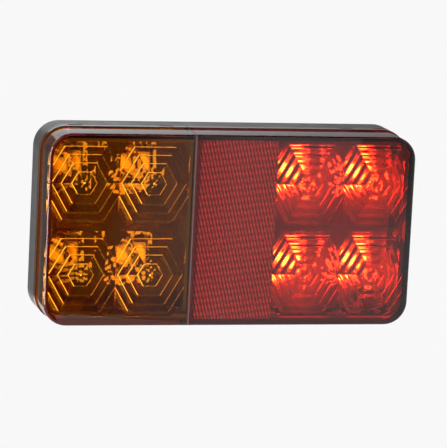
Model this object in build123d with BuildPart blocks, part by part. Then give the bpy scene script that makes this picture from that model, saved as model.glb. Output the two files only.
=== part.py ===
"""Rectangular LED trailer tail light: amber turn section, reflex reflector, red stop and tail section.

Millimetres. The lens looks along -Y and +Z is up. The origin is the middle of the flat rear face,
so a depth is a distance forward of that face, and the mounting studs stand out behind it.
"""

from build123d import *
import os
from math import atan2, cos, degrees, radians, tan

# Overall envelope
body_width = 150.0
body_height = 77.5
body_depth = 32.0
corner_radius = 10.0

# Housing
housing_depth = 12.7
housing_wall = 2.5
rear_wall = 2.5
rear_edge_radius = 1.2
rim_width = 5.0
rim_height = 3.5
lip_width = 1.8
lip_height = 3.0
relief_depth = 0.8
relief_width = 34.0
relief_height = 20.0
relief_margin_x = 10.0
relief_margin_z = 7.75

# Lens
lens_plate = 2.5
lens_wall = 2.2
lens_flange_height = 3.5
lens_wall_inset = 0.6
lens_edge_radius = 1.0
lens_lip_clearance = 0.2
seam_gap = 0.3
seam_x = -16.0
joint_width = 0.5
notch_length = 6.5
notch_width = 1.3
notch_depth = 0.6
notch_places_x = (-61.0, -24.0, 50.0, 65.0)

# Hexagonal Fresnel optics on the inner face of the lens, two columns by two rows on each side
field_inner_x = 17.9
field_outer_margin = 2.8
field_top_margin = 4.0
optic_side_margin = 1.5
optic_top_margin = 2.35
optic_cell_gap = 0.2
optic_pad = 0.3
ring_radii = (0.4, 5.0, 9.1, 12.9, 16.6, 20.3)
ring_slopes = (9.0, 19.0, 24.0, 27.0, 29.0)

# Reflex reflector and its sealed backing
reflex_x_low = -14.3
reflex_x_high = 18.0
reflex_clearance = 0.2
reflex_thickness = 2.6
backing_rim = 1.2
backing_depth = 3.2
backing_plate = 1.2
backing_clearance = 0.2

# Seal between the housing and the lens
seal_inset = 1.1
seal_width = 1.4
seal_groove_depth = 0.9

# Circuit board
board_clearance = 1.0
board_thickness = 1.6
board_rear_depth = 7.5
board_corner_radius = 5.0
board_screw_margin = 5.0

# Board screws and their bosses
screw_radius = 1.45
screw_head_radius = 2.8
screw_head_height = 1.9
screw_length = 6.0
screw_hole_clearance = 0.25
pilot_clearance = 0.05
screw_boss_radius = 3.6

# Light emitting diodes
led_body_size = 5.0
led_body_height = 1.6
led_window_radius = 2.1
led_window_recess = 0.5
led_window_crown = 0.15
led_foot_length = 0.7
led_foot_width = 1.0
led_foot_height = 0.4

# Light shield
shield_wall = 1.2
shield_clearance = 0.3
shield_optic_gap = 3.5
divider_thickness = 1.4

# Mounting studs
stud_spacing = 50.0
stud_radius = 2.5
stud_length = 20.0
stud_head_across_flats = 8.0
stud_head_height = 3.5
stud_tip_chamfer = 0.6
stud_neck_radius = 3.2
stud_clearance = 0.1
stud_boss_radius = 7.0

# Cable inlet
inlet_edge_margin = 12.75
inlet_bore_radius = 3.0
inlet_hole_radius = 5.5
inlet_boss_radius = 9.5
inlet_boss_depth = 6.0
grommet_flange_radius = 7.2
grommet_flange_thickness = 1.6
grommet_recess = 0.2
grommet_clearance = 0.1
grommet_collar_radius = 6.6
grommet_collar_height = 1.8
board_inlet_clearance = 0.9

# Parts on the board, which stand in the dark bay behind the reflector, round the cable inlet
resistor_size = (3.2, 6.3, 0.6)
diode_size = (4.3, 2.6, 2.3)
suppressor_size = (5.3, 3.6, 2.4)
regulator_size = (6.5, 6.1, 2.3)
regulator_tab = (5.2, 1.4, 0.6)
regulator_leg = (0.9, 2.4, 0.6)
regulator_leg_offset = 2.3
capacitor_radius = 3.15
capacitor_height = 7.7
capacitor_edge_radius = 0.5
terminal_size = (14.0, 6.5, 7.5)
terminal_pitch = 3.4
terminal_hole_radius = 1.1
terminal_floor = 2.0
part_gap = 1.0
resistor_pitch = 8.0
diode_pitch = 5.0
left_parts_x = -10.8
right_parts_x = 12.8
pair_half_spacing = 4.2

# Depths along the lamp that follow from the values above
board_front_depth = board_rear_depth + board_thickness
led_front_depth = board_front_depth + led_body_height
lip_front_depth = housing_depth + lip_height
lens_rear_depth = housing_depth + seam_gap
plate_rear_depth = body_depth - lens_plate
reflex_rear_depth = plate_rear_depth - reflex_thickness
backing_rear_depth = reflex_rear_depth - backing_depth
shield_front_depth = plate_rear_depth - shield_optic_gap
divider_front_depth = backing_rear_depth - backing_clearance

# Insets from the lamp's outline
lens_cavity_inset = lens_wall_inset + lens_wall
lip_outer_inset = lens_cavity_inset + lens_lip_clearance
board_inset = rim_width + board_clearance
shield_top_inset = lens_cavity_inset + shield_clearance
shield_foot_inset = max(lip_outer_inset + lip_width, rim_width) + shield_clearance

# Sizes and places across the lamp
optic_cell_width = (body_width / 2 - optic_side_margin - field_inner_x) / 2
optic_cell_height = body_height / 2 - optic_top_margin
optic_columns = [field_inner_x + optic_cell_width / 2, field_inner_x + optic_cell_width * 3 / 2]
optic_row = optic_cell_height / 2
led_places = [
    (side * x, row * optic_row) for side in (-1, 1) for row in (1, -1) for x in optic_columns
]
reflex_x = (reflex_x_low + reflex_x_high) / 2
reflex_width = reflex_x_high - reflex_x_low
reflex_height = body_height - 2 * (lens_cavity_inset + reflex_clearance)
backing_width = reflex_width - 2 * backing_clearance
backing_height = body_height - 2 * (shield_top_inset + shield_wall + backing_clearance)
board_width = body_width - 2 * board_inset
board_height = body_height - 2 * board_inset
screw_x = board_width / 2 - board_screw_margin
screw_z = board_height / 2 - board_screw_margin
screw_places = [(x, z) for x in (-screw_x, screw_x) for z in (-screw_z, screw_z)]
stud_places = [(-stud_spacing / 2, 0), (stud_spacing / 2, 0)]
inlet_z = inlet_edge_margin - board_height / 2
inlet_place = [(0, inlet_z)]
board_inlet_radius = grommet_collar_radius + board_inlet_clearance
relief_x = body_width / 2 - relief_margin_x - relief_width / 2
relief_z = body_height / 2 - relief_margin_z - relief_height / 2
relief_places = [(side * relief_x, row * relief_z) for side in (-1, 1) for row in (-1, 1)]


def at_depth(depth):
    """Sketch plane a given depth forward of the rear face: its x is +X and its y is +Z."""
    return Plane.XZ.offset(depth)


def outline(inset, mode=Mode.ADD):
    """Rounded outline of the lamp, drawn in by an inset on every side."""
    RectangleRounded(
        body_width - 2 * inset,
        body_height - 2 * inset,
        corner_radius - inset,
        mode=mode,
    )


def block(low_depth, high_depth, mode=Mode.ADD, inset=0.0):
    """Full outline between two depths."""
    with BuildSketch(at_depth(low_depth)) as profile:
        outline(inset)
    extrude(profile.sketch, amount=high_depth - low_depth, mode=mode)


def ring(low_depth, high_depth, inset, width, mode=Mode.ADD):
    """Band that follows the outline between two depths."""
    with BuildSketch(at_depth(low_depth)) as profile:
        outline(inset)
        outline(inset + width, Mode.SUBTRACT)
    extrude(profile.sketch, amount=high_depth - low_depth, mode=mode)


def discs(places, radius, low_depth, high_depth, mode=Mode.ADD):
    """Round posts or holes at several (x, z) places between two depths."""
    with BuildSketch(at_depth(low_depth)) as profile:
        with Locations(*places):
            Circle(radius)
    extrude(profile.sketch, amount=high_depth - low_depth, mode=mode)


def bricks(places, size_x, size_z, low_depth, high_depth, mode=Mode.ADD):
    """Rectangular blocks or pockets at several (x, z) places between two depths."""
    with BuildSketch(at_depth(low_depth)) as profile:
        with Locations(*places):
            Rectangle(size_x, size_z)
    extrude(profile.sketch, amount=high_depth - low_depth, mode=mode)


def slab(x_low, x_high):
    """Keep only what lies between two x planes."""
    with BuildSketch(at_depth(-body_depth)) as profile:
        with Locations(((x_low + x_high) / 2, 0)):
            Rectangle(x_high - x_low, 2 * body_height)
    extrude(profile.sketch, amount=3 * body_depth, mode=Mode.INTERSECT)


def write(piece, name):
    """Label a finished piece and write its file."""
    piece.part.label = name
    export_step(piece.part, f"parts/{name}.step")


os.makedirs("parts", exist_ok=True)


# Housing: a shallow tray with bosses inside and a lip that the lens fits over
with BuildPart() as housing:
    block(0, housing_depth)
    rear_edges = housing.faces().sort_by(Axis.Y)[-1].edges()
    fillet(rear_edges, rear_edge_radius)
    block(rear_wall, housing_depth, Mode.SUBTRACT, housing_wall)
    rim_rear_depth = housing_depth - rim_height
    ring(rim_rear_depth, housing_depth, housing_wall / 2, rim_width - housing_wall / 2)
    ring(rim_rear_depth, lip_front_depth, lip_outer_inset, lip_width)
    ring(housing_depth - seal_groove_depth, housing_depth, seal_inset, seal_width, Mode.SUBTRACT)
    discs(screw_places, screw_boss_radius, rear_wall, board_rear_depth)
    discs(
        screw_places,
        screw_radius + pilot_clearance,
        board_front_depth - screw_length,
        board_rear_depth,
        Mode.SUBTRACT,
    )
    discs(stud_places, stud_boss_radius, rear_wall, rear_wall + stud_head_height)
    with BuildSketch(at_depth(rear_wall)):
        with Locations(*stud_places):
            RegularPolygon(stud_head_across_flats / 2 + stud_clearance, 6, major_radius=False)
    extrude(amount=stud_head_height, mode=Mode.SUBTRACT)
    discs(stud_places, stud_neck_radius + stud_clearance, 0, rear_wall, Mode.SUBTRACT)
    discs(inlet_place, inlet_boss_radius, rear_wall, inlet_boss_depth)
    discs(inlet_place, inlet_hole_radius, 0, inlet_boss_depth, Mode.SUBTRACT)
    discs(
        inlet_place,
        grommet_flange_radius,
        0,
        grommet_recess + grommet_flange_thickness,
        Mode.SUBTRACT,
    )
    bricks(relief_places, relief_width, relief_height, 0, relief_depth, Mode.SUBTRACT)
write(housing, "housing")


# One hexagonal Fresnel optic, drawn with its flat side on XY and its teeth along +Z
def fresnel_tooth(inner_radius, outer_radius, slope):
    """One ring of the optic: a hexagonal band whose face falls away from the middle."""
    run = (outer_radius - inner_radius) * cos(radians(30))
    rise = run * tan(radians(slope))
    with BuildPart() as tooth:
        with BuildSketch(Plane.XY.offset(optic_pad)):
            RegularPolygon(outer_radius, 6)
        extrude(amount=rise, taper=degrees(atan2(run, rise)))
        if inner_radius > ring_radii[0]:
            with BuildSketch(Plane.XY.offset(optic_pad)):
                RegularPolygon(inner_radius, 6)
            extrude(amount=rise, mode=Mode.SUBTRACT)
    return tooth.part


teeth = [
    fresnel_tooth(inner, outer, slope)
    for inner, outer, slope in zip(ring_radii[:-1], ring_radii[1:], ring_slopes)
]

with BuildPart() as optic:
    add(teeth)
    with BuildSketch():
        Rectangle(optic_cell_width - optic_cell_gap, optic_cell_height - optic_cell_gap)
    extrude(amount=optic_pad)
    with BuildSketch():
        Rectangle(optic_cell_width - optic_cell_gap, optic_cell_height - optic_cell_gap)
    extrude(amount=body_depth, mode=Mode.INTERSECT)

optic_planes = [
    Plane(origin=(x, -plate_rear_depth, z), x_dir=(1, 0, 0), z_dir=(0, 1, 0)) for x, z in led_places
]
field_outer_x = body_width / 2 - field_outer_margin
field_height = body_height - 2 * field_top_margin

with BuildPart() as optics:
    with Locations(*optic_planes):
        add(optic.part)
    with BuildSketch(at_depth(0)):
        for side in (-1, 1):
            with Locations((side * (field_inner_x + field_outer_x) / 2, 0)):
                Rectangle(field_outer_x - field_inner_x, field_height)
    extrude(amount=body_depth, mode=Mode.INTERSECT)


# Whole lens, which is then cut into its amber half, its red half and the joint between them
with BuildPart() as lens:
    block(lens_rear_depth, body_depth, inset=lens_wall_inset)
    front_edges = lens.faces().sort_by(Axis.Y)[0].edges()
    fillet(front_edges, lens_edge_radius)
    block(lens_rear_depth, lens_rear_depth + lens_flange_height)
    block(lens_rear_depth, plate_rear_depth, Mode.SUBTRACT, lens_cavity_inset)
    notch_plane = Plane.XY.offset(body_height / 2)
    with BuildSketch(notch_plane):
        with Locations(*[(x, -lens_rear_depth) for x in notch_places_x]):
            SlotOverall(notch_length, 2 * notch_width)
    extrude(amount=-notch_depth, mode=Mode.SUBTRACT)
    add(optics.part)

amber_end_x = seam_x - joint_width / 2
red_start_x = seam_x + joint_width / 2

with BuildPart() as lens_amber:
    add(lens.part)
    slab(-body_width, amber_end_x)
write(lens_amber, "lens_amber")

with BuildPart() as lens_red:
    add(lens.part)
    slab(red_start_x, body_width)
write(lens_red, "lens_red")

with BuildPart() as lens_joint:
    add(lens.part)
    slab(amber_end_x, red_start_x)
write(lens_joint, "lens_joint")


# Seal bead that fills the seam between the housing and the lens
with BuildPart() as lens_seal:
    ring(housing_depth - seal_groove_depth, lens_rear_depth, seal_inset, seal_width)
write(lens_seal, "lens_seal")


# Reflex reflector plate behind the clear window of the red lens, and its airtight backing
with BuildPart() as reflex_panel:
    bricks([(reflex_x, 0)], reflex_width, reflex_height, reflex_rear_depth, plate_rear_depth)
write(reflex_panel, "reflex_panel")

with BuildPart() as reflex_backing:
    bricks([(reflex_x, 0)], backing_width, backing_height, backing_rear_depth, reflex_rear_depth)
    bricks(
        [(reflex_x, 0)],
        backing_width - 2 * backing_rim,
        backing_height - 2 * backing_rim,
        backing_rear_depth + backing_plate,
        reflex_rear_depth,
        Mode.SUBTRACT,
    )
write(reflex_backing, "reflex_backing")


# Circuit board
with BuildPart() as circuit_board:
    with BuildSketch(at_depth(board_rear_depth)):
        RectangleRounded(board_width, board_height, board_corner_radius)
        with Locations(*screw_places):
            Circle(screw_radius + screw_hole_clearance, mode=Mode.SUBTRACT)
        with Locations(*inlet_place):
            Circle(board_inlet_radius, mode=Mode.SUBTRACT)
    extrude(amount=board_thickness)
write(circuit_board, "circuit_board")


# Light shield: stands on the board, rests on the housing lip and parts the three bays
divider_places = [(seam_x, 0), (field_inner_x, 0)]
divider_foot_height = body_height - 2 * shield_foot_inset - shield_wall
divider_top_height = body_height - 2 * shield_top_inset - shield_wall
with BuildPart() as light_shield:
    ring(board_front_depth, lip_front_depth, shield_foot_inset, shield_wall)
    ring(
        lip_front_depth,
        lip_front_depth + shield_wall,
        shield_top_inset,
        shield_foot_inset + shield_wall - shield_top_inset,
    )
    ring(lip_front_depth, shield_front_depth, shield_top_inset, shield_wall)
    bricks(
        divider_places,
        divider_thickness,
        divider_foot_height,
        board_front_depth,
        divider_front_depth,
    )
    bricks(
        divider_places,
        divider_thickness,
        divider_top_height,
        lip_front_depth,
        divider_front_depth,
    )
write(light_shield, "light_shield")


# Surface-mounted light emitting diodes, one behind each hexagonal optic
for index, place in enumerate(led_places):
    colour = "amber" if place[0] < 0 else "red"
    number = index % 4 + 1
    with BuildPart() as led_body:
        bricks([place], led_body_size, led_body_size, board_front_depth, led_front_depth)
        chamfer(led_body.edges().filter_by(Axis.Y).sort_by(Axis.X)[-1], led_foot_height)
        discs([place], led_window_radius, led_front_depth - led_window_recess, led_front_depth, Mode.SUBTRACT)
        feet_x = led_body_size / 2 + led_foot_length / 2
        feet_z = led_body_size / 2 - led_foot_width
        feet = [
            (place[0] + side * feet_x, place[1] + offset)
            for side in (-1, 1)
            for offset in (-feet_z, 0, feet_z)
        ]
        bricks(feet, led_foot_length, led_foot_width, board_front_depth, board_front_depth + led_foot_height)
    write(led_body, f"led_{colour}_{number}_body")

    with BuildPart() as led_window:
        discs(
            [place],
            led_window_radius,
            led_front_depth - led_window_recess,
            led_front_depth + led_window_crown,
        )
        crown_edge = led_window.faces().sort_by(Axis.Y)[0].edges()
        fillet(crown_edge, led_window_crown)
    write(led_window, f"led_{colour}_{number}_window")


# Parts on the front of the board, in the bay behind the reflector
def board_chip(size, places, name):
    """Group of equal rectangular parts on the board."""
    with BuildPart() as chip:
        bricks(places, size[0], size[1], board_front_depth, board_front_depth + size[2])
    write(chip, name)


terminal_z = inlet_z + board_inlet_radius + part_gap + terminal_size[1] / 2
capacitor_z = terminal_z + terminal_size[1] / 2 + part_gap + capacitor_radius
leg_z = capacitor_z + capacitor_radius + part_gap + regulator_leg[1] / 2
regulator_z = leg_z + (regulator_leg[1] + regulator_size[1]) / 2
tab_z = regulator_z + (regulator_size[1] + regulator_tab[1]) / 2
pair_x = (-pair_half_spacing, pair_half_spacing)
resistor_rows = [regulator_z - i * resistor_pitch for i in range(3)]
diode_rows = [inlet_z + i * diode_pitch for i in (-1, 0, 1)]

board_chip(resistor_size, [(left_parts_x, z) for z in resistor_rows], "tail_resistors")
board_chip(resistor_size, [(right_parts_x, z) for z in resistor_rows], "stop_resistors")
board_chip(diode_size, [(left_parts_x, z) for z in diode_rows], "polarity_diodes")
board_chip(suppressor_size, [(right_parts_x, inlet_z)], "surge_suppressor")

with BuildPart() as current_regulators:
    leg_x = [x + offset for x in pair_x for offset in (-regulator_leg_offset, regulator_leg_offset)]
    for size, places in (
        (regulator_size, [(x, regulator_z) for x in pair_x]),
        (regulator_tab, [(x, tab_z) for x in pair_x]),
        (regulator_leg, [(x, leg_z) for x in leg_x]),
    ):
        bricks(places, size[0], size[1], board_front_depth, board_front_depth + size[2])
write(current_regulators, "current_regulators")

with BuildPart() as capacitors:
    capacitor_places = [(x, capacitor_z) for x in pair_x]
    discs(capacitor_places, capacitor_radius, board_front_depth, board_front_depth + capacitor_height)
    can_tops = capacitors.faces().filter_by(Plane.XZ).sort_by(Axis.Y)[:2]
    fillet(can_tops.edges(), capacitor_edge_radius)
write(capacitors, "smoothing_capacitors")

with BuildPart() as terminal_block:
    terminal_top = board_front_depth + terminal_size[2]
    wire_holes = [((i - 1.5) * terminal_pitch, terminal_z) for i in range(4)]
    bricks([(0, terminal_z)], terminal_size[0], terminal_size[1], board_front_depth, terminal_top)
    discs(wire_holes, terminal_hole_radius, board_front_depth + terminal_floor, terminal_top, Mode.SUBTRACT)
write(terminal_block, "terminal_block")


# Fixings
with BuildPart() as board_screws:
    discs(screw_places, screw_radius, board_front_depth - screw_length, board_front_depth)
    discs(screw_places, screw_head_radius, board_front_depth, board_front_depth + screw_head_height)
    fillet(board_screws.faces().sort_by(Axis.Y)[:4].edges(), screw_head_height / 3)
write(board_screws, "board_screws")

with BuildPart() as mounting_studs:
    discs(stud_places, stud_radius, -stud_length, 0)
    chamfer(mounting_studs.faces().sort_by(Axis.Y)[-2:].edges(), stud_tip_chamfer)
    discs(stud_places, stud_neck_radius, 0, rear_wall)
    with BuildSketch(at_depth(rear_wall)):
        with Locations(*stud_places):
            RegularPolygon(stud_head_across_flats / 2, 6, major_radius=False)
    extrude(amount=stud_head_height)
write(mounting_studs, "mounting_studs")

with BuildPart() as cable_grommet:
    flange_front = grommet_recess + grommet_flange_thickness
    discs(inlet_place, grommet_flange_radius - grommet_clearance, grommet_recess, flange_front)
    discs(inlet_place, inlet_hole_radius, grommet_recess, inlet_boss_depth)
    discs(
        inlet_place,
        grommet_collar_radius,
        inlet_boss_depth,
        inlet_boss_depth + grommet_collar_height,
    )
    discs(
        inlet_place,
        inlet_bore_radius,
        grommet_recess,
        inlet_boss_depth + grommet_collar_height,
        Mode.SUBTRACT,
    )
write(cable_grommet, "cable_grommet")
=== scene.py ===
"""Looks of a rectangular LED trailer tail light, in metres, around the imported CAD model.

The lens looks along -Y and +Z is up. The amber end is at -X and the lit red end at +X.
"""

from math import cos, log, pi, radians, sin, sqrt

import bmesh
import bpy
from mathutils import Matrix, Vector


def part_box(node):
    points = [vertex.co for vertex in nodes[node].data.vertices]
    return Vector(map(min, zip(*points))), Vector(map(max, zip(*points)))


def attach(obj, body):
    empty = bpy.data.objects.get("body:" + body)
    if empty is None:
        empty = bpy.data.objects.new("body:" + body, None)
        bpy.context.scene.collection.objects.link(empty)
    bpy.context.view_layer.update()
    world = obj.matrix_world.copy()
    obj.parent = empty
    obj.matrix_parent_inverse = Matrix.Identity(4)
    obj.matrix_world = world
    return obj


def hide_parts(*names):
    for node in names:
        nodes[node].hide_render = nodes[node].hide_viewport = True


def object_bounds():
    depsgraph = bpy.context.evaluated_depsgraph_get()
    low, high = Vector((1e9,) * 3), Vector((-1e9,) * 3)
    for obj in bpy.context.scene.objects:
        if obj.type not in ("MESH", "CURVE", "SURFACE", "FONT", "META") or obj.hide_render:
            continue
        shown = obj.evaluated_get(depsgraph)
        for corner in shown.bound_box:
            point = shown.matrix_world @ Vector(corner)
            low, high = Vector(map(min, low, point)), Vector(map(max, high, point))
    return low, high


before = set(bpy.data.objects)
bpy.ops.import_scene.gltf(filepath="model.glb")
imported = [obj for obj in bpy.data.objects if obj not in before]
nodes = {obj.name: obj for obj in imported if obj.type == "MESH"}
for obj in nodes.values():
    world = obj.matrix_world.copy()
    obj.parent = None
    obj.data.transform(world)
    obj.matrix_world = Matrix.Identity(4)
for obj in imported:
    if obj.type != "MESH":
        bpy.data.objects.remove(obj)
cad_low, cad_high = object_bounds()

MM = 0.001


def middle_of(name):
    low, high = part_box(name)
    return (low + high) / 2


# ---------------------------------------------------------------- meshes

def mesh_object(name, bm, smooth=False):
    """Turn a bmesh into a piece that rides on the one body."""
    bmesh.ops.recalc_face_normals(bm, faces=bm.faces)
    mesh = bpy.data.meshes.new(name)
    bm.to_mesh(mesh)
    bm.free()
    for polygon in mesh.polygons:
        polygon.use_smooth = smooth
    piece = bpy.data.objects.new(name, mesh)
    bpy.context.scene.collection.objects.link(piece)
    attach(piece, "root")
    return piece


def edge_slope(edge):
    """How steeply an edge runs towards the front, from 0 for one that lies across the lens."""
    along = edge.verts[1].co - edge.verts[0].co
    return along.y / along.length


def cube_corner_plate(name, node, cell_radius, plate, border, skin, wobble):
    """Clear plate whose back is a field of corner cubes with hexagonal outlines.

    The front lies just behind the lens's inner face. Each cube is three square faces that meet
    at a point, and its rim steps between two heights from one corner to the next.
    """
    low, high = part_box(node)
    front_y = low.y + skin
    base_y = front_y + plate
    step = cell_radius / sqrt(2)
    column_pitch = 1.5 * cell_radius
    row_pitch = sqrt(3) * cell_radius
    width = high.x - low.x - 2 * border
    height = high.z - low.z - 2 * border
    columns = int((width - 2 * cell_radius) / column_pitch) + 1
    rows = int((height - 1.5 * row_pitch) / row_pitch) + 1
    first_x = (low.x + high.x) / 2 - (columns - 1) * column_pitch / 2
    first_z = (low.z + high.z) / 2 - (rows - 0.5) * row_pitch / 2

    bm = bmesh.new()
    shared = {}

    def vertex(x, y, z):
        key = (round(x, 7), round(y, 7), round(z, 7))
        if key not in shared:
            shared[key] = bm.verts.new((x, y, z))
        return shared[key]

    for column in range(columns):
        for row in range(rows):
            x = first_x + column * column_pitch
            z = first_z + (row + 0.5 * (column % 2)) * row_pitch
            # Sines with uneven steps move each point a little, as the mould's small errors do
            shift_x = wobble * sin(12.9 * column + 7.3 * row)
            shift_z = wobble * sin(4.1 * column - 9.7 * row)
            apex = vertex(x + shift_x, base_y + 2 * step, z + shift_z)
            rim = []
            for k in range(6):
                rim_y = base_y + (step if k % 2 == 0 else 0)
                rim.append(
                    vertex(x + cell_radius * cos(k * pi / 3), rim_y, z + cell_radius * sin(k * pi / 3))
                )
            for k in (0, 2, 4):
                facet = bm.faces.new((apex, rim[k], rim[k + 1], rim[(k + 2) % 6]))
                # Each face direction takes its own slot, whose colour paints that face's light and shade
                facet.material_index = 1 + k // 2

    base_edges = []
    for rim_edge in [edge for edge in bm.edges if len(edge.link_faces) == 1]:
        near, far = sorted(rim_edge.verts, key=lambda v: v.co.y)
        foot = vertex(far.co.x, base_y, far.co.z)
        bm.faces.new((near, far, foot))
        base_edges.append(bm.edges.get((near, foot)))

    corners = [(low.x, low.z), (high.x, low.z), (high.x, high.z), (low.x, high.z)]
    back = [bm.verts.new((x, base_y, z)) for x, z in corners]
    front = [bm.verts.new((x, front_y, z)) for x, z in corners]
    bm.faces.new(front)
    for k in range(4):
        after = (k + 1) % 4
        bm.faces.new((front[k], front[after], back[after], back[k]))
        base_edges.append(bm.edges.get((back[k], back[after])))
    bmesh.ops.triangle_fill(bm, edges=base_edges, normal=(0, 1, 0))
    return mesh_object(name, bm)


def moulded_lens(name, node, centres, optics_front, optics_rear, tip_radius):
    """The node's own shape, with the steps between its ring-shaped teeth rounded at their tips.

    The steps and their tips are left matt by the mould, and take the piece's second material.
    """
    merge_distance = 0.002 * MM
    flat_angle = radians(0.5)
    step_lean = 0.3
    faces_centre = 0.6
    faces_back = 0.9
    dot_reach = 0.2 * MM
    tip_angle = radians(20)
    tip_slope = 0.05
    optics_border = 0.4 * MM
    smooth_angle = radians(25)
    bm = bmesh.new()
    bm.from_mesh(nodes[node].data)
    bmesh.ops.remove_doubles(bm, verts=bm.verts, dist=merge_distance)
    bmesh.ops.dissolve_limit(bm, angle_limit=flat_angle, verts=bm.verts, edges=bm.edges)

    def is_step(face):
        within = all(optics_front < v.co.y < optics_rear for v in face.verts)
        if not within or abs(face.normal.y) > step_lean:
            return False
        middle = face.calc_center_median()
        centre = min(centres, key=lambda c: (c - middle).length)
        inward = centre - middle
        inward.y = 0
        return face.normal.dot(inward.normalized()) > faces_centre

    def is_dot(face):
        middle = face.calc_center_median()
        return face.normal.y > faces_back and any(
            (middle - c).xz.length < dot_reach and optics_front < middle.y for c in centres
        )

    steps = [face for face in bm.faces if is_step(face) or is_dot(face)]
    for face in steps:
        face.material_index = 1
    tips = {
        edge
        for face in steps
        for edge in face.edges
        if edge.is_convex and edge.calc_face_angle() > tip_angle and abs(edge_slope(edge)) < tip_slope
    }
    bmesh.ops.bevel(
        bm,
        geom=list(tips),
        offset=tip_radius,
        offset_type="OFFSET",
        segments=4,
        profile=0.5,
        affect="EDGES",
        clamp_overlap=False,
        material=1,
    )
    for edge in bm.edges:
        optic = all(optics_front - optics_border < v.co.y < optics_rear for v in edge.verts)
        edge.smooth = not optic and edge.calc_face_angle(pi) < smooth_angle
    return mesh_object(name, bm, smooth=True)


def threaded_studs(name, node, spacing, radius, neck_radius, wall, across_flats, pitch, length):
    """Two studs with a rolled thread behind the rear face, a plain neck and a captive hex head."""
    head_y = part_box(node)[0].y
    segments = 48
    rings_per_turn = 8
    groove = 0.6 * pitch

    def hexagon(turn):
        return across_flats / 2 / cos((turn * 2 * pi) % (pi / 3) - pi / 6)

    def thread(y):
        """Radius round the shank at this height: a helical groove that runs out at both ends."""
        runout = min(1, y / pitch, (length - y) / pitch)
        chamfer = max(0, y - (length - pitch)) * 0.75

        def at(turn):
            flank = abs(2 * ((y / pitch - turn) % 1.0) - 1)
            return radius - chamfer - groove * runout * min(max(flank * 1.3 - 0.15, 0), 1)

        return at

    levels = [
        (head_y, hexagon),
        (-wall, hexagon),
        (-wall, lambda turn: neck_radius),
        (0, lambda turn: neck_radius),
    ]
    rings = int(length / pitch * rings_per_turn)
    levels += [(length * i / rings, thread(length * i / rings)) for i in range(rings + 1)]

    bm = bmesh.new()
    for centre_x in (-spacing / 2, spacing / 2):
        previous = None
        for y, radius_at in levels:
            ring = []
            for k in range(segments):
                turn = k / segments
                r = radius_at(turn)
                ring.append(bm.verts.new((centre_x + r * cos(2 * pi * turn), y, r * sin(2 * pi * turn))))
            if previous is None:
                bm.faces.new(ring)
            else:
                for k in range(segments):
                    after = (k + 1) % segments
                    bm.faces.new((previous[k], previous[after], ring[after], ring[k]))
            previous = ring
        bm.faces.new(previous)
    return mesh_object(name, bm)


# ---------------------------------------------------------------- materials

class Shader:
    """A node material with a Principled surface and small helpers for procedural detail."""

    def __init__(self, name):
        self.material = bpy.data.materials.new(name)
        self.material.use_nodes = True
        self.tree = self.material.node_tree
        self.surface = self.tree.nodes["Principled BSDF"]
        self.output = self.tree.nodes["Material Output"]
        self.place = self.tree.nodes.new("ShaderNodeTexCoord")

    def node(self, kind, **values):
        made = self.tree.nodes.new(kind)
        for key, value in values.items():
            setattr(made, key, value)
        return made

    def link(self, source, target):
        self.tree.links.new(source, target)

    def set(self, **values):
        """Plain values on the surface's own sockets, with underscores for spaces."""
        for key, value in values.items():
            self.surface.inputs[key.replace("_", " ")].default_value = value

    def math(self, operation, *values):
        """The result of an arithmetic node on numbers and sockets."""
        made = self.node("ShaderNodeMath", operation=operation)
        for value, target in zip(values, made.inputs):
            if isinstance(value, (int, float)):
                target.default_value = value
            else:
                self.link(value, target)
        return made.outputs["Value"]

    def axes(self):
        """The object's own X, Y and Z."""
        split = self.node("ShaderNodeSeparateXYZ")
        self.link(self.place.outputs["Object"], split.inputs["Vector"])
        return split.outputs

    def noise(self, feature, detail=3.0, stretch=(1, 1, 1)):
        """Noise whose features are about this long, in metres."""
        mapping = self.node("ShaderNodeMapping")
        mapping.inputs["Scale"].default_value = stretch
        texture = self.node("ShaderNodeTexNoise")
        texture.inputs["Scale"].default_value = 1 / feature
        texture.inputs["Detail"].default_value = detail
        self.link(self.place.outputs["Object"], mapping.inputs["Vector"])
        self.link(mapping.outputs["Vector"], texture.inputs["Vector"])
        return texture.outputs["Fac"]

    def ramp(self, factor, low, high):
        """Map a noise factor's useful middle range onto two values."""
        span = self.node("ShaderNodeMapRange")
        span.inputs["From Min"].default_value = 0.3
        span.inputs["From Max"].default_value = 0.7
        span.inputs["To Min"].default_value = low
        span.inputs["To Max"].default_value = high
        self.link(factor, span.inputs["Value"])
        return span.outputs["Result"]

    def tint(self, factor, dark, light):
        """Blend two colours by a factor into the base colour."""
        mix = self.node("ShaderNodeMix", data_type="RGBA")
        mix.inputs["A"].default_value = (*dark, 1)
        mix.inputs["B"].default_value = (*light, 1)
        self.link(factor, mix.inputs["Factor"])
        self.link(mix.outputs["Result"], self.surface.inputs["Base Color"])

    def bump(self, factor, height):
        """Relief of this height, in metres."""
        relief = self.node("ShaderNodeBump")
        relief.inputs["Strength"].default_value = 1.0
        relief.inputs["Distance"].default_value = height
        self.link(factor, relief.inputs["Height"])
        self.link(relief.outputs["Normal"], self.surface.inputs["Normal"])

    def roughen(self, factor, low, high):
        self.link(self.ramp(factor, low, high), self.surface.inputs["Roughness"])


def fill_ramp(ramp, stops):
    """Put grey stops, each a place and a brightness, on a new colour ramp node."""
    while len(ramp.color_ramp.elements) < len(stops):
        ramp.color_ramp.elements.new(0.5)
    for element, (place, brightness) in zip(ramp.color_ramp.elements, stops):
        element.position = place
        element.color = (brightness, brightness, brightness, 1)


def moulded(name, dark, light, roughness, grain=0.4 * MM, relief=0.004 * MM, patch=12 * MM):
    """Moulded plastic or rubber: fine spark-eroded grain with slow changes in gloss."""
    shader = Shader(name)
    shader.tint(shader.noise(patch, detail=6), dark, light)
    shader.roughen(shader.noise(patch / 2, detail=5), *roughness)
    shader.bump(shader.noise(grain, detail=2), relief)
    return shader.material


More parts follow.
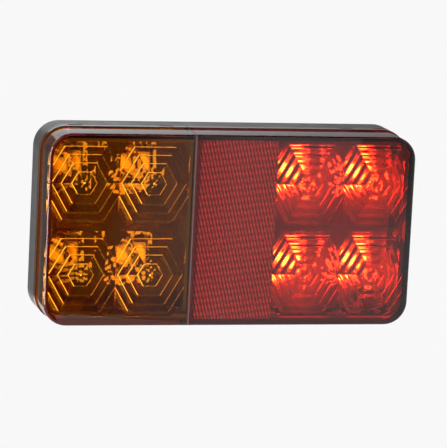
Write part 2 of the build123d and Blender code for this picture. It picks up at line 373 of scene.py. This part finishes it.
def metal(name, dark, light, roughness, stretch=(1, 1, 1)):
    """Plated or drawn metal with fine streaks."""
    shader = Shader(name)
    shader.set(Metallic=1.0)
    streaks = shader.noise(0.5 * MM, detail=5, stretch=stretch)
    shader.tint(streaks, dark, light)
    shader.roughen(streaks, *roughness)
    shader.bump(streaks, 0.002 * MM)
    return shader.material


def ring_ripples(shader, column, half_pitch, row, radii):
    """Height from 0 to 1 that rises once between each two of the hexagonal optic's ring radii.

    column is the middle distance of the two columns from the lens's middle, half_pitch is half
    the distance between them, and row is the optics' height.
    """

    def fold(value, distance):
        """Distance from the nearer of the two places that lie this far on either side of 0."""
        return shader.math("SUBTRACT", shader.math("ABSOLUTE", value), distance)

    axes = shader.axes()
    across = shader.math("ABSOLUTE", fold(fold(axes["X"], column), half_pitch))
    upward = shader.math("ABSOLUTE", fold(axes["Z"], row))
    slanted = shader.math(
        "ADD", shader.math("MULTIPLY", across, cos(pi / 6)), shader.math("MULTIPLY", upward, sin(pi / 6))
    )
    apothem = shader.math("MAXIMUM", slanted, upward)
    stops = []
    for inner, outer in zip(radii[:-1], radii[1:]):
        stops += [(inner, 0.0), ((inner + outer) / 2, 1.0)]
    stops.append((radii[-1], 0.0))
    ramp = shader.node("ShaderNodeValToRGB")
    ramp.color_ramp.interpolation = "EASE"
    fill_ramp(ramp, [(radius / radii[-1], height) for radius, height in stops])
    shader.link(shader.math("DIVIDE", apothem, radii[-1] * cos(pi / 6)), ramp.inputs["Fac"])
    return ramp.outputs["Color"]


def painted_cube_glints(shader, pitch_x, pitch_z):
    """Painted glints and shade of corner cubes: rows of short, steep dashes that lean to the left at their
    tops, from 0 to 1.
    """
    glint_lean = 0.26
    row_lean = 0.10
    row_floor = 0.45
    wave_period = pi / 10
    bands = []
    for direction, pitch, lean, low in (("X", pitch_x, glint_lean, 0.0), ("Z", pitch_z, row_lean, row_floor)):
        mapping = shader.node("ShaderNodeMapping")
        mapping.inputs["Rotation"].default_value = (0, lean, 0)
        shader.link(shader.place.outputs["Object"], mapping.inputs["Vector"])
        wave = shader.node("ShaderNodeTexWave", bands_direction=direction)
        wave.inputs["Scale"].default_value = wave_period / pitch
        shader.link(mapping.outputs["Vector"], wave.inputs["Vector"])
        span = shader.node("ShaderNodeMapRange")
        span.inputs["To Min"].default_value = low
        shader.link(wave.outputs["Fac"], span.inputs["Value"])
        bands.append(span.outputs["Result"])
    return shader.math("MULTIPLY", *bands)


def clear_plastic(
    name, tint, passes, depth, roughness=(0.0, 0.02), haze=None, cloudy=0.0, ripples=None, painted_glints=None
):
    """Polished tinted acrylic: a tint for going in and out, and what passes through that depth.

    haze gives the roughness of the moulded optics and the object Y that they start at, and
    ripples the height of the curve across each of their teeth, and where they are. cloudy is
    the share of light that the surface scatters, in the tint's colour. painted_glints gives the
    two pitches and the two tints of a pattern of painted glints and shade that takes the tint's place.
    """
    shader = Shader(name)
    shader.set(Base_Color=(*tint, 1), IOR=1.49, Transmission_Weight=1.0 - cloudy)
    # The pattern paints the corner cubes' glints and shade in place of the tint
    if painted_glints:
        pitch_x, pitch_z, dark, light = painted_glints
        shader.tint(painted_cube_glints(shader, pitch_x, pitch_z), dark, light)
    polish = shader.ramp(shader.noise(9 * MM, detail=6), *roughness)
    if haze:
        rough, start_y = haze
        behind = shader.math("GREATER_THAN", shader.axes()["Y"], start_y)
        blend = shader.node("ShaderNodeMix", data_type="FLOAT")
        blend.inputs["B"].default_value = rough
        shader.link(behind, blend.inputs["Factor"])
        shader.link(polish, blend.inputs["A"])
        polish = blend.outputs["Result"]
        if ripples:
            height, places = ripples
            shader.bump(shader.math("MULTIPLY", ring_ripples(shader, *places), behind), height)
    shader.link(polish, shader.surface.inputs["Roughness"])
    takes = [-log(share) / depth for share in passes]
    density = max(takes)
    inside = shader.node("ShaderNodeVolumeAbsorption")
    inside.inputs["Color"].default_value = (*[1 - t / density for t in takes], 1)
    inside.inputs["Density"].default_value = density
    shader.link(inside.outputs["Volume"], shader.output.inputs["Volume"])
    return shader.material


def emitter(name, colour, strength):
    """Lit window of a light source, or a light source's package whose glow is painted light."""
    shader = Shader(name)
    shader.tint(shader.noise(1 * MM), (0.9, 0.3, 0.2), (1.0, 0.4, 0.3))
    shader.set(Emission_Color=(*colour, 1), Emission_Strength=strength, Roughness=0.3)
    return shader.material


def board_surface(name, columns, row):
    """Black solder mask over copper tracks, with bare tinned areas near the light sources.

    columns are the two distances of the sources from the middle, and row is their height.
    """
    gap_reach = 4 * MM
    column_reach = 5.5 * MM
    row_reach = 5 * MM
    patch_size = 1.2 * MM
    bare_share_start = 0.55
    track_pitch = 4 * MM
    shader = Shader(name)
    axes = shader.axes()

    def near(axis, distance, reach):
        """1 where the point is within reach of this distance on either side of the middle."""
        return shader.math("COMPARE", shader.math("ABSOLUTE", axes[axis]), distance, reach)

    pads = near("X", sum(columns) / 2, gap_reach)
    for column in columns:
        pads = shader.math("MAXIMUM", pads, near("X", column, column_reach))
    pads = shader.math("MULTIPLY", pads, near("Z", row, row_reach))
    pieces = shader.node("ShaderNodeTexVoronoi", feature="F1")
    pieces.inputs["Scale"].default_value = 1 / patch_size
    shader.link(shader.place.outputs["Object"], pieces.inputs["Vector"])
    shade = shader.node("ShaderNodeSeparateColor")
    shader.link(pieces.outputs["Color"], shade.inputs["Color"])
    bare = shader.math("GREATER_THAN", shade.outputs["Red"], bare_share_start)

    tracks = shader.node("ShaderNodeTexVoronoi", feature="DISTANCE_TO_EDGE", distance="MANHATTAN")
    tracks.inputs["Scale"].default_value = 1 / track_pitch
    shader.link(shader.place.outputs["Object"], tracks.inputs["Vector"])
    shader.tint(shader.math("MULTIPLY", pads, bare), (0.008, 0.007, 0.006), (0.20, 0.18, 0.14))
    shader.bump(shader.math("ADD", tracks.outputs["Distance"], shade.outputs["Green"]), 0.05 * MM)
    shader.roughen(shader.noise(3 * MM), 0.35, 0.5)
    return shader.material


def dress(material, *names):
    """Put a material on every slot of the named CAD nodes."""
    for name in names:
        mesh = nodes[name].data
        mesh.materials.clear()
        mesh.materials.append(material)


def cover(piece, material):
    piece.data.materials.append(material)


LENS_PLATE = 2.5 * MM
OPTIC_PAD = 0.3 * MM
OPTIC_DEPTH = 4 * MM
AMBER_TINT = (0.97, 0.45, 0.08)
AMBER_PASSES = (0.98, 0.75, 0.25)
RED_TINT = (0.92, 0.12, 0.08)
RED_PASSES = (0.94, 0.50, 0.50)

dress(moulded("housing_abs", (0.010, 0.010, 0.011), (0.016, 0.016, 0.017), (0.28, 0.40)), "housing")
dress(moulded("joint_bond", (0.025, 0.012, 0.012), (0.04, 0.02, 0.02), (0.4, 0.55)), "lens_joint")
dress(moulded("seal_silicone", (0.01, 0.01, 0.01), (0.02, 0.02, 0.02), (0.5, 0.7)), "lens_seal")
dress(moulded("backing_abs", (0.02, 0.02, 0.02), (0.03, 0.03, 0.03), (0.4, 0.5)), "reflex_backing")
dress(moulded("shield_pp", (0.008, 0.008, 0.008), (0.014, 0.014, 0.014), (0.45, 0.6)), "light_shield")
inner_source = middle_of("led_red_1_window")
outer_source = middle_of("led_red_2_window")
dress(
    board_surface("board_mask", (abs(inner_source.x), abs(outer_source.x)), abs(inner_source.z)),
    "circuit_board",
)
dress(
    moulded("package_white", (0.12, 0.10, 0.07), (0.20, 0.17, 0.12), (0.35, 0.5), patch=2 * MM),
    *[n for n in nodes if n.startswith("led_amber") and n.endswith("_body")],
)
# The red packages' emission is a painted glow, standing in for their chips' light scattered in the white
# bodies
dress(
    emitter("package_painted_glow", (1.0, 0.18, 0.02), 25.0),
    *[n for n in nodes if n.startswith("led_red") and n.endswith("_body")],
)
dress(
    moulded("window_phosphor", (0.36, 0.22, 0.03), (0.52, 0.34, 0.06), (0.15, 0.25), patch=1 * MM),
    *[n for n in nodes if n.startswith("led_amber") and n.endswith("_window")],
)
dress(
    emitter("window_lit", (1.0, 0.18, 0.02), 300.0),
    *[n for n in nodes if n.startswith("led_red") and n.endswith("_window")],
)
dress(
    moulded("resistor_body", (0.02, 0.02, 0.025), (0.05, 0.05, 0.06), (0.3, 0.5), patch=2 * MM),
    "tail_resistors",
    "stop_resistors",
)
dress(
    moulded("chip_epoxy", (0.012, 0.012, 0.013), (0.03, 0.03, 0.03), (0.5, 0.7), patch=2 * MM),
    "polarity_diodes",
    "surge_suppressor",
    "current_regulators",
)
dress(metal("can_aluminium", (0.62, 0.62, 0.64), (0.82, 0.82, 0.84), (0.25, 0.4)), "smoothing_capacitors")
dress(moulded("terminal_nylon", (0.03, 0.16, 0.06), (0.05, 0.24, 0.09), (0.35, 0.5)), "terminal_block")
dress(metal("screw_plating", (0.18, 0.18, 0.18), (0.30, 0.30, 0.30), (0.3, 0.5)), "board_screws")
dress(moulded("grommet_rubber", (0.012, 0.012, 0.012), (0.025, 0.025, 0.025), (0.55, 0.75)), "cable_grommet")

OPTICS_START = cad_low.y + LENS_PLATE - 0.1 * MM
RING_RADII = [radius * MM for radius in (0.4, 5.0, 9.1, 12.9, 16.6, 20.3)]
OPTIC_PLACES = (
    (abs(inner_source.x) + abs(outer_source.x)) / 2,
    (abs(outer_source.x) - abs(inner_source.x)) / 2,
    abs(inner_source.z),
    RING_RADII,
)
LENS_FINISHES = {
    "amber": (
        clear_plastic("amber_acrylic", AMBER_TINT, AMBER_PASSES, LENS_PLATE, haze=(0.03, OPTICS_START)),
        moulded("amber_tooth_edge", (0.52, 0.40, 0.19), (0.64, 0.50, 0.25), (0.4, 0.6), patch=2 * MM),
    ),
    "red": (
        clear_plastic(
            "red_acrylic",
            RED_TINT,
            RED_PASSES,
            LENS_PLATE,
            haze=(0.05, OPTICS_START),
            ripples=(0.15 * MM, OPTIC_PLACES),
        ),
        # The red steps' near-black colour paints the shade on the unlit steps between the glowing facets
        moulded("red_tooth_edge_painted_shade", (0.05, 0.012, 0.01), (0.08, 0.02, 0.016), (0.4, 0.6), patch=2 * MM),
    ),
}
for colour, finishes in LENS_FINISHES.items():
    lens = moulded_lens(
        f"{colour}_lens",
        f"lens_{colour}",
        centres=[middle_of(f"led_{colour}_{number}_window") for number in (1, 2, 3, 4)],
        optics_front=OPTICS_START + OPTIC_PAD,
        optics_rear=OPTICS_START + OPTIC_DEPTH,
        tip_radius=0.15 * MM,
    )
    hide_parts(f"lens_{colour}")
    for finish in finishes:
        cover(lens, finish)
    # Lights reach the inside only where the lens casts no shadow
    lens.visible_shadow = False
    lens.visible_diffuse = False

reflex = cube_corner_plate(
    "reflex_cubes",
    "reflex_panel",
    cell_radius=1.19 * MM,
    plate=0.5 * MM,
    border=0.15 * MM,
    skin=0.05 * MM,
    wobble=0.07 * MM,
)
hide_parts("reflex_panel")
# Pale dashes on dark on the reflector's front: painted glints and shade of the corner cubes behind it
REFLEX_PAINTED_GLINTS = (1.3 * MM, 2.6 * MM, (0.03, 0.02, 0.02), (0.95, 0.75, 0.70))
for name, cloudy, tint, painted_glints in (
    ("reflex_front_painted_glints", 0.10, (0.98, 0.90, 0.90), REFLEX_PAINTED_GLINTS),
    # The three facet slots are lit and shaded copies of one red: their tints paint the light and shade on
    # the cube faces
    ("reflex_upper_painted_light", 0.75, (1.0, 0.45, 0.40), None),
    ("reflex_left_painted_shade", 0.75, (0.25, 0.07, 0.06), None),
    ("reflex_lower_painted_half_shade", 0.75, (0.75, 0.24, 0.21), None),
):
    finish = clear_plastic(name, tint, RED_PASSES, LENS_PLATE, (0.0, 0.04), cloudy=cloudy, painted_glints=painted_glints)
    cover(reflex, finish)

studs = threaded_studs(
    "stud_threads",
    "mounting_studs",
    spacing=50 * MM,
    radius=2.5 * MM,
    neck_radius=3.2 * MM,
    wall=2.5 * MM,
    across_flats=8 * MM,
    pitch=0.8 * MM,
    length=20 * MM,
)
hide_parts("mounting_studs")
cover(studs, metal("stud_plating", (0.50, 0.49, 0.45), (0.74, 0.72, 0.66), (0.22, 0.4), (1, 6, 1)))


# ---------------------------------------------------------------- floor, light and camera

FLOOR_DROP = 0.35
FLOOR_REACH = 40.0


def stage_plane(name, corners, material):
    mesh = bpy.data.meshes.new(name)
    mesh.from_pydata([tuple(c) for c in corners], [], [tuple(range(len(corners)))])
    plane = bpy.data.objects.new(name, mesh)
    mesh.materials.append(material)
    bpy.context.scene.collection.objects.link(plane)
    return plane


def card(name, centre, size, turn, stops, across=True, tilt=0):
    """Flag or softbox that only mirror and glass rays meet. It tilts about X, then turns about Z.

    stops are pairs of a place from 0 to 1, left to right or bottom to top, and a brightness.
    """
    half_x, half_z = size[0] / 2, size[1] / 2
    corners = [(-half_x, 0, -half_z), (half_x, 0, -half_z), (half_x, 0, half_z), (-half_x, 0, half_z)]
    shader = Shader(name + "_paint")
    span = shader.node("ShaderNodeMapRange")
    span.inputs["From Min"].default_value = -half_x if across else -half_z
    span.inputs["From Max"].default_value = half_x if across else half_z
    shader.link(shader.axes()["X" if across else "Z"], span.inputs["Value"])
    ramp = shader.node("ShaderNodeValToRGB")
    fill_ramp(ramp, stops)
    shader.link(span.outputs["Result"], ramp.inputs["Fac"])
    glow = shader.node("ShaderNodeEmission")
    shader.link(ramp.outputs["Color"], glow.inputs["Color"])
    shader.link(glow.outputs["Emission"], shader.output.inputs["Surface"])
    plane = stage_plane(name, corners, shader.material)
    plane.location = centre
    plane.rotation_euler = (radians(tilt), 0, radians(turn))
    plane.visible_camera = False
    plane.visible_diffuse = False
    plane.visible_shadow = False


floor_paint = Shader("floor_paint")
floor_paint.tint(floor_paint.noise(0.5, detail=2), (0.935, 0.935, 0.935), (0.945, 0.945, 0.945))
floor_paint.set(Roughness=0.9, Specular_IOR_Level=0.0)
floor_z = cad_low.z - FLOOR_DROP
floor_corners = [
    (x * FLOOR_REACH, y * FLOOR_REACH, floor_z) for x, y in ((-1, -1), (1, -1), (1, 1), (-1, 1))
]
stage_plane("floor", floor_corners, floor_paint.material)

world = bpy.data.worlds.new("studio")
world.use_nodes = True
world.node_tree.nodes["Background"].inputs["Color"].default_value = (1, 1, 1, 1)
world.node_tree.nodes["Background"].inputs["Strength"].default_value = 1.0
bpy.context.scene.world = world

card(
    "behind_camera",
    centre=(-0.03, -1.35, 0.05),
    size=(0.95, 1.4),
    turn=14.7,
    stops=((0.0, 0.9), (0.25, 0.03), (0.76, 0.03), (0.84, 0.5), (0.89, 0.95), (1.0, 0.9)),
)
card(
    "right_flag",
    centre=(0.80, -1.36, 0.30),
    size=(0.9, 1.0),
    turn=0,
    stops=((0.0, 0.9), (0.15, 0.35), (1.0, 0.35)),
    across=False,
)
card(
    "left_flag",
    centre=(-0.75, 0.9, -0.12),
    size=(1.3, 0.9),
    turn=35,
    stops=((0.0, 0.9), (0.2, 0.16), (0.93, 0.16), (1.0, 0.9)),
)
card(
    "top_flag",
    centre=(0.45, 1.0, 0.30),
    size=(0.7, 0.8),
    turn=0,
    stops=((0.0, 1.0), (0.3, 0.5), (0.6, 0.15), (1.0, 0.1)),
)
card(
    "ceiling_flag",
    centre=(0.15, -0.25, 0.9),
    size=(1.4, 1.0),
    turn=0,
    tilt=90,
    stops=((0.0, 0.05), (1.0, 0.05)),
)
card(
    "left_softbox",
    centre=(-1.0, -0.45, -0.05),
    size=(0.8, 0.9),
    turn=-75,
    stops=((0.0, 11.0), (1.0, 11.0)),
)

CAMERA_PLACE = Vector((-0.2975, -1.1511, 0.2078))
CAMERA_YAW = 14.717
CAMERA_PITCH = -10.049
CAMERA_ROLL = 2.882
CAMERA_LENS = 240.25


def soft_light(name, place, aim, size, energy, colour=(1, 1, 1), spread=180):
    """Area light that mirror and glass rays don't meet."""
    data = bpy.data.lights.new(name, "AREA")
    data.shape = "DISK"
    data.size = size
    data.energy = energy
    data.color = colour
    data.spread = radians(spread)
    light = bpy.data.objects.new(name, data)
    light.location = place
    light.rotation_euler = (Vector(aim) - Vector(place)).to_track_quat("-Z", "Y").to_euler()
    light.visible_camera = False
    light.visible_glossy = False
    light.visible_transmission = False
    bpy.context.scene.collection.objects.link(light)


GLOW_OFFSET = Vector((3, -8, -2)) * MM
GLOW_SIZE = 12 * MM
GLOW_POWER = 0.08
GLOW_COLOUR = (1.0, 0.36, 0.05)

soft_light("low_key", place=(-0.40, -0.45, -0.26), aim=(-0.03, 0, 0), size=0.12, energy=1.9, spread=50)
for number in (1, 2, 3, 4):
    place = middle_of(f"led_red_{number}_window") + GLOW_OFFSET
    aim = place + Vector((0, 1, 0))
    soft_light(f"red_glow_{number}", place, aim, GLOW_SIZE, GLOW_POWER, GLOW_COLOUR)

camera_data = bpy.data.cameras.new("camera")
camera_data.sensor_fit = "HORIZONTAL"
camera_data.sensor_width = 36.0
camera_data.lens = CAMERA_LENS
camera_data.clip_start = 0.01
camera_data.clip_end = 100.0
camera = bpy.data.objects.new("camera", camera_data)
bpy.context.scene.collection.objects.link(camera)
yaw, pitch, roll = radians(CAMERA_YAW), radians(CAMERA_PITCH), radians(CAMERA_ROLL)
forward = Vector((sin(yaw) * cos(pitch), cos(yaw) * cos(pitch), sin(pitch)))
level_right = forward.cross(Vector((0, 0, 1))).normalized()
level_up = level_right.cross(forward)
right = level_right * cos(roll) + level_up * sin(roll)
up = -level_right * sin(roll) + level_up * cos(roll)
turned = Matrix((right, up, -forward)).transposed().to_4x4()
camera.matrix_world = Matrix.Translation(CAMERA_PLACE) @ turned
bpy.context.scene.camera = camera

settings = bpy.context.scene
settings.view_settings.view_transform = "Standard"
settings.cycles.max_bounces = 24
settings.cycles.transmission_bounces = 24
settings.cycles.glossy_bounces = 8
settings.cycles.use_denoising = True
settings.cycles.sample_clamp_indirect = 0
